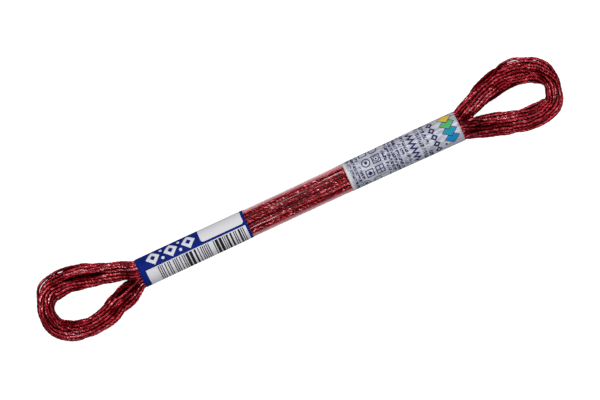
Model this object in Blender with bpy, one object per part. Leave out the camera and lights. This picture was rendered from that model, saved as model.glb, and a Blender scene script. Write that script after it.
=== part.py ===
"""Skein of metallic embroidery floss: one thread wound many times round into a ring,
pulled flat through a film sleeve that leaves an open loop at each end.

Run with: blender --background --python part.py
Metres, +Z up. X runs along the sleeve. The origin is on the surface that the skein lies on,
under the middle of the sleeve. Sizes below are in millimetres.
"""

import math
from collections import namedtuple

import bmesh
import bpy

MM = 0.001

# The film sleeve: a heat-shrunk tube, a little wider at its right end.
SLEEVE_HALF_LENGTH = 46.4
SLEEVE_WALL = 0.30
SLEEVE_CENTRE_HEIGHT = 3.40
SLEEVE_POINTS = 36

# The ring of thread.
CLEARANCE = 0.30  # between the sleeve and the thread, and between the two runs inside it
STRAND_WIDTH = 0.86
TURNS = 26
PACKING = 0.80  # share of a bundle's section that is thread
RIBS = 17  # strands that show round a bundle
POINTS_PER_RIB = 3
RIB_DEPTH = 0.26
FURROW_DEPTH = 1.0  # of the deepest furrow between two groups of strands
FURROW_WIDTH = 1.3  # in points of a section
OVAL_POWER = 2.3  # 2 is an ellipse, more is boxier
SINK = 0.25  # how much of a bundle's underside is pressed flat on the surface
CORNER_SHARPNESS = 9.0  # of a run's section where the sleeve presses it to a half round
RUN_CENTRE = 0.45  # of the way from the sleeve's axis to its wall
TOP_PULL = 4.0  # how much more height counts than width in finding the top of an outline
TINY = 1e-6
MOUTH_BULGE = 0.6  # how far past the sleeve's sides the thread springs out as it leaves
MOUTH_DROP = 0.05  # how far under the sleeve's top it is there
OUTLINE_STEPS = 288
LOOP_STEP = 2.8  # the most between two sections of a loop
LOOP_TURN = math.radians(13)  # the most that a loop bends between two sections
SLEEVE_STEP = 12.0  # between two sections inside the sleeve

# One row for each section of the sleeve, from left to right: its place, and how far its film
# reaches to the front, to the back and up from the sleeve's axis.
SleeveRow = namedtuple("SleeveRow", "x front back up")
SLEEVE_ROWS = [
    SleeveRow(-46.4, 4.00, 3.97, 3.60),
    SleeveRow(-38.0, 3.95, 3.97, 3.66),
    SleeveRow(-27.0, 3.91, 3.97, 3.66),
    SleeveRow(-15.6, 3.84, 3.95, 3.62),
    SleeveRow(-13.4, 3.78, 3.82, 3.54),
    SleeveRow(0.0, 3.78, 3.81, 3.58),
    SleeveRow(8.0, 3.78, 3.90, 3.54),
    SleeveRow(14.6, 3.84, 4.06, 3.60),
    SleeveRow(26.0, 3.91, 4.10, 3.62),
    SleeveRow(34.0, 4.02, 4.20, 3.64),
    SleeveRow(46.4, 4.10, 4.20, 3.62),
]

# One row for each section of the ring of thread, clockwise from the sleeve's left mouth:
# the middle of the bundle, its width across the way it runs, how far the sleeve presses it
# to a half round (0 to 1), and the depth of the furrow along its top (0 to 1).
RingRow = namedtuple("RingRow", "x y wide press furrow")
BACK_RUN = [
    RingRow(-46.85, 1.8, 4.0, 1.0, 0.0),
    RingRow(46.85, 2.0, 4.0, 1.0, 0.0),
]
RIGHT_LOOP = [
    RingRow(48.1, 3.5, 6.2, 0.80, 0.1),
    RingRow(50.2, 3.9, 5.4, 0.40, 0.2),
    RingRow(52.8, 4.4, 5.4, 0.10, 0.3),
    RingRow(55.5, 5.2, 6.0, 0.0, 0.4),
    RingRow(58.1, 6.0, 6.6, 0.0, 0.5),
    RingRow(60.7, 6.6, 7.0, 0.0, 0.5),
    RingRow(63.4, 6.8, 7.4, 0.0, 0.5),
    RingRow(66.0, 6.8, 7.4, 0.0, 0.5),
    RingRow(69.3, 5.7, 6.7, 0.0, 0.4),
    RingRow(72.1, 3.5, 6.0, 0.0, 0.3),
    RingRow(73.0, 0.2, 4.9, 0.0, 0.1),
    RingRow(72.3, -2.8, 4.8, 0.0, 0.2),
    RingRow(70.7, -4.9, 5.1, 0.0, 0.3),
    RingRow(68.1, -5.8, 5.9, 0.0, 0.4),
    RingRow(65.9, -6.1, 6.2, 0.0, 0.5),
    RingRow(63.3, -5.9, 6.0, 0.0, 0.6),
    RingRow(60.7, -5.2, 6.0, 0.0, 0.6),
    RingRow(58.1, -4.5, 6.3, 0.0, 0.6),
    RingRow(55.5, -3.7, 6.2, 0.0, 0.5),
    RingRow(52.8, -3.1, 6.4, 0.10, 0.4),
    RingRow(50.2, -2.6, 6.2, 0.40, 0.2),
    RingRow(48.1, -2.7, 5.5, 0.80, 0.1),
]
FRONT_RUN = [
    RingRow(46.85, -1.8, 4.0, 1.0, 0.0),
    RingRow(-46.85, -2.0, 4.0, 1.0, 0.0),
]
LEFT_LOOP = [
    RingRow(-48.1, -3.0, 6.0, 0.80, 0.0),
    RingRow(-50.2, -3.3, 6.5, 0.40, 0.1),
    RingRow(-52.4, -3.9, 6.4, 0.10, 0.1),
    RingRow(-54.8, -4.8, 6.0, 0.0, 0.2),
    RingRow(-57.5, -6.0, 5.7, 0.0, 0.2),
    RingRow(-60.1, -6.7, 5.1, 0.0, 0.3),
    RingRow(-62.7, -7.0, 5.0, 0.0, 0.3),
    RingRow(-65.4, -6.9, 4.9, 0.0, 0.2),
    RingRow(-68.0, -6.3, 5.1, 0.0, 0.2),
    RingRow(-70.2, -5.1, 5.0, 0.0, 0.2),
    RingRow(-72.1, -2.9, 4.8, 0.0, 0.1),
    RingRow(-72.9, 0.2, 4.4, 0.0, 0.1),
    RingRow(-71.9, 3.6, 4.8, 0.0, 0.3),
    RingRow(-70.1, 5.5, 6.1, 0.0, 0.5),
    RingRow(-67.9, 6.3, 6.9, 0.0, 0.8),
    RingRow(-65.3, 6.5, 7.1, 0.0, 1.0),
    RingRow(-62.7, 6.3, 7.0, 0.0, 1.0),
    RingRow(-60.1, 5.7, 6.7, 0.0, 1.0),
    RingRow(-57.5, 4.9, 6.3, 0.0, 0.9),
    RingRow(-54.8, 4.0, 5.5, 0.0, 0.7),
    RingRow(-52.4, 3.2, 5.2, 0.10, 0.4),
    RingRow(-50.2, 2.8, 5.2, 0.40, 0.2),
    RingRow(-48.1, 2.3, 4.4, 0.80, 0.1),
]
RING_ROWS = BACK_RUN + RIGHT_LOOP + FRONT_RUN + LEFT_LOOP

# The ring is twisted: the back run lies higher at the sleeve's left mouth, and lower at its right.
TWIST_LEFT = math.radians(32)
TWIST_RIGHT = math.radians(-32)

SHARP_ANGLE = math.radians(50)
FLOSS_COLOUR = (0.26, 0.010, 0.028, 1.0)
FILM_COLOUR = (0.80, 0.81, 0.86, 1.0)


# ---------------------------------------------------------------- tables and curves


def between(rows, x):
    """The row at x of a table that runs along X, by straight lines between its rows."""
    x = min(max(x, rows[0].x), rows[-1].x)
    for first, second in zip(rows, rows[1:]):
        if x <= second.x:
            share = (x - first.x) / (second.x - first.x)
            return type(first)(*(a + share * (b - a) for a, b in zip(first, second)))


def on_curve(before, first, second, after, share):
    """The row that is share of the way from first to second, on a smooth curve through four."""
    values = []
    for a, b, c, d in zip(before, first, second, after):
        leave, arrive = (c - a) / 2, (d - b) / 2
        square = 3 * (c - b) - 2 * leave - arrive
        cube = 2 * (b - c) + leave + arrive
        values.append(b + share * (leave + share * (square + share * cube)))
    return RingRow(*values)


def turn_between(before, first, second, after):
    """How far the ring turns from first to second."""
    arriving = math.atan2(second.y - before.y, second.x - before.x)
    leaving = math.atan2(after.y - first.y, after.x - first.x)
    return abs(math.remainder(leaving - arriving, 2 * math.pi))


def ring_sections():
    """The rows at which the ring is cut: close together in the loops, far apart in the sleeve."""
    found = []
    count = len(RING_ROWS)
    for i, first in enumerate(RING_ROWS):
        second = RING_ROWS[(i + 1) % count]
        # The straight stretch in the sleeve has no say in how the loops bend.
        before = first if first.press == 1 else RING_ROWS[i - 1]
        after = second if second.press == 1 else RING_ROWS[(i + 2) % count]
        length = math.hypot(second.x - first.x, second.y - first.y)
        if first.press == 1 and second.press == 1:
            steps = math.ceil(length / SLEEVE_STEP)
        else:
            turn = turn_between(before, first, second, after)
            steps = max(math.ceil(length / LOOP_STEP), math.ceil(turn / LOOP_TURN))
        for step in range(steps):
            found.append(on_curve(before, first, second, after, step / steps))
    return found


# ---------------------------------------------------------------- outlines of a section
# An outline is a list of (out, height) points: out of the ring, and above the surface.


def oval_outline(row):
    """A bundle that lies free: an oval of the bundle's area, pressed flat underneath."""
    area = TURNS * math.pi / 4 * STRAND_WIDTH**2 / PACKING
    half_width = row.wide / 2
    half_height = area / math.pi / half_width
    points = []
    for i in range(OUTLINE_STEPS):
        angle = 2 * math.pi * i / OUTLINE_STEPS
        cosine, sine = math.cos(angle), math.sin(angle)
        out = half_width * math.copysign(abs(cosine) ** (2 / OVAL_POWER), cosine)
        up = half_height * math.copysign(abs(sine) ** (2 / OVAL_POWER), sine)
        points.append((out, max(0.0, half_height - SINK + up)))
    return points


def twist_at(x):
    """How far the plane between the two runs leans at x."""
    share = (x + SLEEVE_HALF_LENGTH) / (2 * SLEEVE_HALF_LENGTH)
    share = min(max(share, 0.0), 1.0)
    return TWIST_LEFT + share * (TWIST_RIGHT - TWIST_LEFT)


def half_round_outline(x, side):
    """A run pressed to its half of the sleeve's bore, or of the sleeve's own outline once it is
    past the mouth. side is 1 for the back run and -1 for the front run."""
    film = between(SLEEVE_ROWS, x)
    in_sleeve = abs(x) < SLEEVE_HALF_LENGTH + 2 * CLEARANCE
    inset = SLEEVE_WALL + CLEARANCE if in_sleeve else MOUTH_DROP
    reach_out = (film.back if side > 0 else film.front) - (inset if in_sleeve else -MOUTH_BULGE)
    reach_up = film.up - inset
    floor = inset
    lean = twist_at(x)
    normal = (math.cos(lean), side * math.sin(lean))
    middle = RUN_CENTRE * min(reach_out, reach_up)
    centre = (middle * normal[0], SLEEVE_CENTRE_HEIGHT + middle * normal[1])
    points = []
    for i in range(OUTLINE_STEPS):
        angle = 2 * math.pi * i / OUTLINE_STEPS
        out, up = math.cos(angle), math.sin(angle)
        reaches = [reach_to_bore(centre, out, up, reach_out, reach_up)]
        towards_other_run = -(out * normal[0] + up * normal[1])
        if towards_other_run > TINY:
            reaches.append((middle - CLEARANCE / 2) / towards_other_run)
        if up < -TINY:
            reaches.append((centre[1] - floor) / -up)
        reach = sum(r**-CORNER_SHARPNESS for r in reaches) ** (-1 / CORNER_SHARPNESS)
        points.append((centre[0] + reach * out, centre[1] + reach * up))
    return points


def reach_to_bore(centre, out, up, reach_out, reach_up):
    """How far it is from a point in the sleeve's bore to its wall, in one direction."""
    start_out = centre[0] / reach_out
    start_up = (centre[1] - SLEEVE_CENTRE_HEIGHT) / reach_up
    step_out, step_up = out / reach_out, up / reach_up
    a = step_out**2 + step_up**2
    b = start_out * step_out + start_up * step_up
    c = start_out**2 + start_up**2 - 1
    return (-b + math.sqrt(b * b - a * c)) / a


def from_the_top(outline):
    """The same outline, starting over the middle of the bundle."""
    middle = sum(out for out, _ in outline) / len(outline)
    highest = max(height for _, height in outline)
    off_top = [abs(out - middle) + TOP_PULL * (highest - height) for out, height in outline]
    start = off_top.index(min(off_top))
    return outline[start:] + outline[:start]


def evenly_spaced(outline, count):
    """Places at even distances round an outline, each with the outline's direction there."""
    ends = outline[1:] + outline[:1]
    lengths = [0.0]
    for first, second in zip(outline, ends):
        lengths.append(lengths[-1] + math.dist(first, second))
    places = []
    along = 0
    for i in range(count):
        wanted = lengths[-1] * i / count
        while lengths[along + 1] < wanted:
            along += 1
        first, second = outline[along], ends[along]
        size = lengths[along + 1] - lengths[along]
        direction = ((second[0] - first[0]) / size, (second[1] - first[1]) / size)
        ahead = wanted - lengths[along]
        places.append((first[0] + ahead * direction[0], first[1] + ahead * direction[1], direction))
    return places


def ribbed(outline, furrow):
    """Points round an outline, with the strands as ribs except where they are pressed flat on
    the surface. The first point is over the middle of the bundle, where the furrow is."""
    count = RIBS * POINTS_PER_RIB
    points = []
    for i, (out, height, direction) in enumerate(evenly_spaced(from_the_top(outline), count)):
        depth = 0.0
        if height > 0:
            depth = RIB_DEPTH * (1 - math.sin(math.pi * (i % POINTS_PER_RIB) / POINTS_PER_RIB))
            depth += furrow * FURROW_DEPTH * math.exp(-((min(i, count - i) / FURROW_WIDTH) ** 2))
        # The outline runs anticlockwise, so its inward side is to the left of its direction.
        points.append((out - depth * direction[1], max(0.0, height + depth * direction[0])))
    return points


# ---------------------------------------------------------------- the two pieces


def closed_skin(rings):
    """A closed mesh over rings of points in millimetres, the last of which meets the first."""
    made = bmesh.new()
    loops = [[made.verts.new([c * MM for c in point]) for point in ring] for ring in rings]
    for near, far in zip(loops, loops[1:] + loops[:1]):
        for i in range(len(near)):
            j = (i + 1) % len(near)
            made.faces.new((near[i], near[j], far[j], far[i]))
    return made


def add_object(name, made, material):
    """Turns the bmesh into a named object with one material."""
    bmesh.ops.recalc_face_normals(made, faces=made.faces)
    mesh = bpy.data.meshes.new(name)
    made.to_mesh(mesh)
    made.free()
    mesh.materials.append(material)
    mesh.shade_smooth()
    mesh.set_sharp_from_angle(angle=SHARP_ANGLE)
    obj = bpy.data.objects.new(name, mesh)
    bpy.context.collection.objects.link(obj)
    return obj


def add_floss_skein(material):
    """The ring of thread, one closed band whose two runs lie side by side in the sleeve."""
    sections = ring_sections()
    rings = []
    for i, row in enumerate(sections):
        before, after = sections[i - 1], sections[(i + 1) % len(sections)]
        run_x, run_y = after.x - before.x, after.y - before.y
        length = math.hypot(run_x, run_y)
        out_x, out_y = -run_y / length, run_x / length
        side = 1 if row.y > 0 else -1
        press = min(max(row.press, 0.0), 1.0)
        furrow = min(max(row.furrow, 0.0), 1.0)
        free = ribbed(oval_outline(row), furrow)
        pressed = ribbed(half_round_outline(row.x, side), 0.0)
        ring = []
        for (out, height), (pressed_out, pressed_height) in zip(free, pressed):
            free_place = (row.x + out * out_x, row.y + out * out_y, height)
            pressed_place = (row.x, side * pressed_out, pressed_height)
            ring.append([a + press * (b - a) for a, b in zip(free_place, pressed_place)])
        rings.append(ring)
    return add_object("floss_skein", closed_skin(rings), material)


def sleeve_ring(row, inset):
    """One ring of points round the film, flat where the sleeve lies on the surface."""
    points = []
    for i in range(SLEEVE_POINTS):
        angle = 2 * math.pi * (i + 0.5) / SLEEVE_POINTS
        reach = row.back if math.cos(angle) > 0 else row.front
        y = (reach - inset) * math.cos(angle)
        z = SLEEVE_CENTRE_HEIGHT + (row.up - inset) * math.sin(angle)
        points.append((row.x, y, max(z, inset)))
    return points


def add_printed_sleeve(material):
    """The film sleeve, a thin tube open at both ends."""
    outside = [sleeve_ring(row, 0.0) for row in SLEEVE_ROWS]
    inside = [sleeve_ring(row, SLEEVE_WALL) for row in reversed(SLEEVE_ROWS)]
    return add_object("printed_sleeve", closed_skin(outside + inside), material)


def add_material(name, colour, roughness, metallic):
    """A plain Principled material."""
    material = bpy.data.materials.new(name)
    material.use_nodes = True
    shader = material.node_tree.nodes["Principled BSDF"]
    shader.inputs["Base Color"].default_value = colour
    shader.inputs["Roughness"].default_value = roughness
    shader.inputs["Metallic"].default_value = metallic
    return material


def main():
    for obj in list(bpy.data.objects):
        bpy.data.objects.remove(obj)
    floss = add_material("metallic_floss", FLOSS_COLOUR, roughness=0.4, metallic=0.5)
    film = add_material("printed_film", FILM_COLOUR, roughness=0.25, metallic=0.0)
    add_floss_skein(floss)
    add_printed_sleeve(film)


main()
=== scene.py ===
"""Looks of a skein of metallic embroidery floss in a printed film sleeve.

The thread is one length wound many times round a ring; here every turn is a twisted thread of
six plies, laid in the form that the CAD ring holds. The sleeve is thin shrunk film: clear in
the middle, printed blue and white at the left end and silver at the right end.
Lengths below are in millimetres unless a name says otherwise.
"""

import math
from collections import namedtuple

import bpy
import numpy as np
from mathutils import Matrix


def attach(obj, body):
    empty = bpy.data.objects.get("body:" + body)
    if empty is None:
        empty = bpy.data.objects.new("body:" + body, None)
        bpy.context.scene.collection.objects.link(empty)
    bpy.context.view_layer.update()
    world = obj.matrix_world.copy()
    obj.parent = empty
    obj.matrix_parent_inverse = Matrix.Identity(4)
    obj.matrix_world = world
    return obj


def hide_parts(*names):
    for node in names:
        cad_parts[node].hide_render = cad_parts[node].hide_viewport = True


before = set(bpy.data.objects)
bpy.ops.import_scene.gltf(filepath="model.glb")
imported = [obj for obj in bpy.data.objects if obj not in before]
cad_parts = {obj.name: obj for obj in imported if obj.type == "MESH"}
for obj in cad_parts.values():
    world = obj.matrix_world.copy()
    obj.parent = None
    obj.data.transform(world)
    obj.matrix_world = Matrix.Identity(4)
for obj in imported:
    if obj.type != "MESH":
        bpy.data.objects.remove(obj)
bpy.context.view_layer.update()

MM = 0.001
RNG = np.random.default_rng(26)

# -------- driving sizes

# The thread.
TURNS = 26
PLIES = 6
PLY_RADIUS = 0.158
PLY_OFFSET = 0.272  # from the thread's middle to a ply's
STRAND_RADIUS = PLY_RADIUS + PLY_OFFSET
GROOVE_REACH = 0.27  # from the thread's middle to the bottom of the groove between two plies
THREAD_AREA = 0.58  # section of the thread as it lies, with the air between its plies
CLUMP = 4  # turns that keep together
CLUMP_SPACING = 0.84  # between the middles of two strands of one clump
LOOSE_SPACING = 1.00  # and of two clumps, where the bundle lies free
SLEEVE_SPACING = 0.98  # and in the sleeve
PLY_TWIST = 4.3  # length of one turn of the plies
CRIMP = 1.3  # from one swelling of the thread to the next
CRIMP_SHARE = 0.09  # how much it swells there
SLOW_SWELL = 0.03  # and how much over longer stretches
FOIL_STEP = 0.34  # from one wrap of the foil to the next along a ply
FOIL_SLANT = 1.3  # wraps passed from one side of a ply to the other
PACKING = 0.80  # share of a free bundle's section that is thread
LOOSENESS = 0.08  # how far a free bundle reaches past its packed outline
OVAL_POWER = 2.3  # 2 is an ellipse, more is boxier
SINK = 0.25  # how much of a bundle's underside is pressed flat
FURROW_WIDTH = 1.75  # of a furrow that is open by 1, from strand middle to strand middle
WIDEST_FURROW = 1.2  # how far open a furrow can be
FURROW_FLOOR = -0.10  # height of a furrow's floor above the bundle's middle
STRAY_GAP = 0.27  # how far a stray strand stands off the bundle
STRAY_HOLD = 1.5  # length that it keeps to the outline, to the length of its gap
SOFTNESS = 0.93  # share of a strand's radius that stays inside its section's outline
CLUMP_DRIFT = (0.30, 24.0)  # how far a clump of turns drifts from its place, and over what length
TURN_DRIFT = (0.16, 11.0)  # and a single turn
ROLL = 0.45  # how far a bundle rolls to and fro once round the ring, in radians
ROLL_START = 0.8
# Swellings of a free bundle: waves along the ring, waves round the bundle, size.
SWELLS = ((23, 1, 0.09), (37, 2, 0.08), (61, 1, 0.08), (83, 3, 0.06))
DISC_ROUNDS = 600  # of spreading the turns' places in a disc
DISC_FILL = 0.80  # share of the disc that they take up
ROUNDS = 220  # of settling the strands
SMOOTHING = 0.30  # how far a round moves a strand towards its own neighbouring points
ANCHORING = 0.012  # back to where it started
PUSHING = 0.36  # away from the strands that it overlaps
PULLING = 0.5  # to a furrow's side, or out to the outline
LOOKS = 16  # directions round a strand in which its neighbours are looked for
OTHER_RUN_RADIUS = 2.2  # of the other run in the sleeve, as a strand sees it
STATION_STEP = 0.75  # between two stations of the ring, where the strands' places are settled
RING_STEP = 0.36  # between two rings of points along a strand where it shows
HIDDEN_STEP = 1.6  # and where the printed film hides it
SHOWN_MARGIN = 3.0  # how far in under the print the thread is still as fine as where it shows
STRIP_FILL = 0.90  # share of a strip's width in a bake that the tube's faces take

# The sleeve.
FILM = 0.07  # how thick it is
WINDOW_LEFT = -14.95
WINDOW_RIGHT = 13.95
WINDOW_SLACK = 0.05  # how far the clear film stands off the thread at its sides
FILM_LEFT = -46.0  # ends of the sleeve
FILM_RIGHT = 46.25
FILM_EASE = 0.02  # how much smaller than the CAD sleeve the film may be where no strand lifts it
FILM_EVENNESS = 1.1  # length over which it evens out the strands under it
FILM_STEP = 0.6  # between two rings of its points
FILM_POINTS = 120  # round it
# Where the film's sides and edges lie on its flat map.
OUTSIDE_STRIP = (0.0, 0.86)
FIRST_EDGE_STRIP = (0.87, 0.88)
LAST_EDGE_STRIP = (0.89, 0.90)
INSIDE_STRIP = (0.91, 1.0)
UNDERSIDE = 0.3  # below this height the film turns towards the middle of its underside
HULL_COUNT = 240  # directions in which the film's reach is worked out
CORNER_SHARPNESS = 9.0  # of a run's section where the sleeve presses it to a half round
RUN_GAP = 0.10  # between the two runs in the sleeve
RUN_CENTRE = 0.45  # of the way from the sleeve's axis to its wall
MOUTH_BULGE = 0.75  # how far past the sleeve's sides the thread springs out as it leaves
SLEEVE_AXIS = 3.40  # height of the sleeve's axis above the surface
# The ring is twisted: the back run lies higher at the sleeve's left mouth, lower at its right.
TWIST_LEFT = math.radians(32)
TWIST_RIGHT = math.radians(-32)

# One row for each section of the ring of thread, clockwise, as in the CAD: the middle of the
# bundle, its width across the way it runs, how far the sleeve presses it to a half round, how
# open the furrow along its top is, and how far outside the middle the furrow runs. The first
# row is where the winding starts and ends, hidden in the sleeve.
# x, y, wide, press, furrow, aside
RING_ROWS = (
    (-36.0, 1.8, 4.0, 1.0, 0.0, 0.0),
    (46.85, 2.0, 4.0, 1.0, 0.0, 0.0),
    (48.1, 3.6, 6.5, 0.75, 0.1, 0.3),
    (50.2, 3.9, 5.4, 0.40, 0.2, 0.3),
    (52.8, 4.3, 5.3, 0.10, 0.3, 0.2),
    (55.5, 5.2, 6.0, 0.0, 0.4, 0.1),
    (58.1, 6.0, 6.6, 0.0, 0.5, 0.0),
    (60.7, 6.7, 7.35, 0.0, 0.5, -0.2),
    (63.4, 6.85, 7.6, 0.0, 0.5, -0.5),
    (66.1, 6.65, 7.4, 0.0, 0.5, -0.7),
    (69.2, 5.68, 6.85, 0.0, 0.4, -0.7),
    (72.3, 3.6, 6.3, 0.0, 0.3, -0.5),
    (73.3, 0.2, 4.3, 0.0, 0.1, 0.0),
    (72.5, -2.85, 4.2, 0.0, 0.2, 0.0),
    (71.0, -5.15, 5.4, 0.0, 0.3, 0.0),
    (68.2, -5.9, 6.3, 0.0, 0.4, 0.0),
    (65.9, -6.1, 6.35, 0.0, 0.5, 0.0),
    (63.3, -5.9, 6.0, 0.0, 0.6, 0.0),
    (60.7, -5.2, 6.0, 0.0, 0.6, 0.0),
    (58.1, -4.5, 6.3, 0.0, 0.6, 0.0),
    (55.5, -3.7, 6.2, 0.0, 0.5, 0.0),
    (52.8, -3.1, 6.4, 0.10, 0.7, 0.1),
    (50.2, -2.7, 6.3, 0.40, 0.6, 0.0),
    (48.1, -2.9, 5.9, 0.75, 0.4, 0.0),
    (46.85, -1.8, 4.0, 1.0, 0.0, 0.0),
    (-46.85, -2.0, 4.0, 1.0, 0.0, 0.0),
    (-48.1, -3.3, 6.4, 0.70, 0.6, -1.2),
    (-50.2, -3.55, 6.3, 0.15, 0.9, -1.5),
    (-52.4, -4.0, 6.3, 0.0, 1.0, -1.7),
    (-54.8, -4.8, 6.0, 0.0, 0.6, -0.9),
    (-57.5, -6.0, 5.7, 0.0, 0.3, 0.2),
    (-60.1, -6.75, 5.2, 0.0, 0.3, 0.0),
    (-62.7, -7.1, 5.1, 0.0, 0.3, 0.0),
    (-65.4, -7.05, 5.1, 0.0, 0.2, 0.0),
    (-68.1, -6.5, 5.35, 0.0, 0.2, 0.0),
    (-70.45, -5.25, 5.45, 0.0, 0.2, 0.0),
    (-72.35, -3.0, 5.15, 0.0, 0.1, 0.0),
    (-72.95, 0.2, 4.3, 0.0, 0.1, 0.0),
    (-72.0, 3.7, 5.1, 0.0, 0.2, 0.3),
    (-70.3, 5.6, 6.7, 0.0, 0.2, 0.3),
    (-67.9, 6.3, 7.2, 0.0, 0.3, 0.1),
    (-65.3, 6.5, 7.1, 0.0, 0.7, 0.0),
    (-62.7, 6.3, 7.0, 0.0, 1.2, 0.0),
    (-60.1, 5.7, 6.7, 0.0, 1.2, 0.0),
    (-57.5, 4.9, 6.3, 0.0, 1.15, 0.0),
    (-54.8, 4.0, 5.5, 0.0, 0.7, 0.0),
    (-52.4, 3.2, 5.1, 0.0, 0.4, 0.0),
    (-50.2, 2.8, 5.05, 0.15, 0.2, 0.0),
    (-48.1, 2.5, 4.9, 0.70, 0.1, 0.0),
    (-46.85, 1.8, 4.0, 1.0, 0.0, 0.0),
)

# Where the outermost strand keeps to the outline or strays from its bundle: the middle and the
# length of each stretch, and how open its gap is.
Stray = namedtuple("Stray", "x y length open")
STRAYS = (
    (-65.2, 8.9, 2.4, 1.0),
    (-71.4, 7.2, 9.5, 1.0),
    (63.4, 9.8, 3.0, 0.9),
    (67.8, 8.8, 5.0, 0.0),
    (71.9, 6.6, 1.8, 0.9),
)

# Painted highlights and painted shade on the foil, where it looks lit more than elsewhere or less:
# the patch's middle, its half length and half width, the way that it runs in degrees, and how much
# more.
PaintedSheen = namedtuple("PaintedSheen", "x y long wide turned gain")
PAINTED_SHEENS = (
    (-60.2, 5.2, 5.6, 0.9, -12, -1.3),
    (-55.5, 5.6, 9.5, 3.0, -12, 0.28),
    (-61.0, -6.6, 7.5, 2.6, 14, -0.25),
    (-71.2, 0.5, 5.5, 2.6, 85, -0.2),
    (62.0, 6.5, 8.5, 3.6, 12, -0.15),
    (-52.2, -1.8, 5.4, 1.0, 14, -1.0),
    (-56.2, -6.1, 2.0, 1.1, 24, -0.9),
    (-52.9, -5.2, 2.3, 1.1, 24, -0.9),
    (-49.2, -2.9, 2.2, 0.6, 12, -0.8),
    (-64.0, 9.5, 3.2, 1.0, 2, -0.8),
    (-67.0, 7.4, 2.8, 1.3, 10, -0.5),
    (-64.5, 3.0, 4.0, 0.7, 10, -0.8),
    (-68.0, -4.2, 3.4, 0.7, -25, -0.8),
    (-60.4, 7.2, 3.6, 1.2, 8, 0.1),
    (-47.8, 3.1, 3.6, 1.4, 10, 0.2),
    (-53.7, -3.2, 6.0, 0.8, 15, 0.5),
    (-68.8, -7.2, 3.6, 1.2, -20, 0.6),
    (-70.9, 4.3, 2.2, 1.0, 60, 0.5),
    (58.5, 8.7, 7.5, 0.8, 15, -0.8),
    (60.0, 3.0, 7.0, 0.8, 9, -0.8),
    (49.5, 1.5, 2.4, 0.9, 17, -1.0),
    (71.5, 2.6, 2.9, 0.9, -80, -0.8),
    (55.0, -3.9, 8.0, 0.5, -18, -0.7),
    (53.7, 3.6, 6.0, 1.1, 18, 0.8),
    (56.8, -2.2, 5.0, 1.1, -14, 0.3),
    (67.8, 9.1, 3.6, 0.8, -10, 0.6),
    (73.2, -3.1, 2.4, 1.1, 75, 0.5),
)

# Where the camera stands: straight above, turned so that the skein lies as photographed.
PIXELS_PER_MM = 3.81
FRAME_PIXELS = 600
SKEIN_SLANT = math.radians(24.85)
CAMERA_LENS = 160.0
CAMERA_SENSOR = 36.0

AIM = (0.14, -0.07)
AIM_HEIGHT = 5.0  # most of what shows lies about this high

FAR = 99.0  # further than anything is
NO_LIMIT = 1e3  # a reach that nothing stops
TINY = 1e-6  # added to a distance that is divided by
LEAST_SLOPE = 0.05  # of a direction that is taken to run towards something
UP = np.array([0.0, 0.0, 1.0])


# -------- lines and directions


def directions(angles):
    """A unit vector for each angle, along a new last axis."""
    return np.stack([np.cos(angles), np.sin(angles)], axis=-1)


def lengths(line):
    """How far along a line each of its rows lies."""
    steps = np.linalg.norm(np.diff(line, axis=0), axis=1)
    return np.concatenate([[0], steps.cumsum()])


def rows_at(wanted, along, rows):
    """Rows between the given ones, at the wanted distances along them."""
    return np.stack([np.interp(wanted, along, column) for column in rows.T], axis=1)


def on_curve(before, first, second, after, share):
    """Rows at the given shares of the way from first to second, on a smooth curve through four."""
    leave, arrive = (second - before) / 2, (after - first) / 2
    square = 3 * (second - first) - 2 * leave - arrive
    cube = 2 * (first - second) + leave + arrive
    return first + share * (leave + share * (square + share * cube))


# -------- the ring's stations


def sleeve_from_cad():
    """The CAD sleeve's own sections: x, reach to the front, to the back, height of the top."""
    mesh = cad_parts["printed_sleeve"].data
    points = np.empty(len(mesh.vertices) * 3)
    mesh.vertices.foreach_get("co", points)
    points = points.reshape(-1, 3) / MM
    rows = []
    for x in np.unique(points[:, 0].round(1)):
        ring = points[abs(points[:, 0] - x) < 0.1]
        rows.append((x, -ring[:, 1].min(), ring[:, 1].max(), ring[:, 2].max()))
    return np.array(rows)


SLEEVE_ROWS = sleeve_from_cad()
SLEEVE_END = SLEEVE_ROWS[-1, 0]


def sleeve_at(x):
    """The CAD sleeve's reach to the front, to the back, and the height of its top, at x."""
    return (np.interp(x, SLEEVE_ROWS[:, 0], SLEEVE_ROWS[:, i]) for i in (1, 2, 3))


def ring_stations():
    """Rows at even distances along the ring, and the ring's length."""
    rows = np.array(RING_ROWS)
    share = np.linspace(0, 1, 40, endpoint=False)[:, None]
    held = rows[:, 3] == 1  # pressed fully, where the ring runs straight
    dense = []
    for i in range(-1, len(rows) - 1):
        before = rows[i] if held[i] else rows[i - 1]
        after = rows[i + 1] if held[i + 1] else rows[(i + 2) % len(rows)]
        dense.append(on_curve(before, rows[i], rows[i + 1], after, share))
    dense = np.concatenate(dense[1:] + dense[:1])
    closed = np.vstack([dense, dense[:1]])
    along = lengths(closed[:, :2])
    wanted = np.linspace(0, along[-1], round(along[-1] / STATION_STEP), endpoint=False)
    return rows_at(wanted, along, closed), along[-1]


STATIONS, RING_LENGTH = ring_stations()
STATION_COUNT = len(STATIONS)
X, Y, WIDE, PRESS, FURROW, ASIDE = STATIONS.T
PRESS = PRESS.clip(0, 1)
SIDE = np.where(Y > 0, 1.0, -1.0)


def outward():
    """The direction out of the ring at each station."""
    run = np.roll(STATIONS[:, :2], -1, axis=0) - np.roll(STATIONS[:, :2], 1, axis=0)
    run /= np.linalg.norm(run, axis=1)[:, None]
    out = np.stack([-run[:, 1], run[:, 0]], axis=1)
    pressed = np.stack([np.zeros(STATION_COUNT), SIDE], axis=1)
    out = out + PRESS[:, None] * (pressed - out)
    return out / np.linalg.norm(out, axis=1)[:, None]


OUTWARD = outward()

# -------- what holds the strands
# A section's outline is its reach from its own middle at evenly spaced angles.

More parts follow.
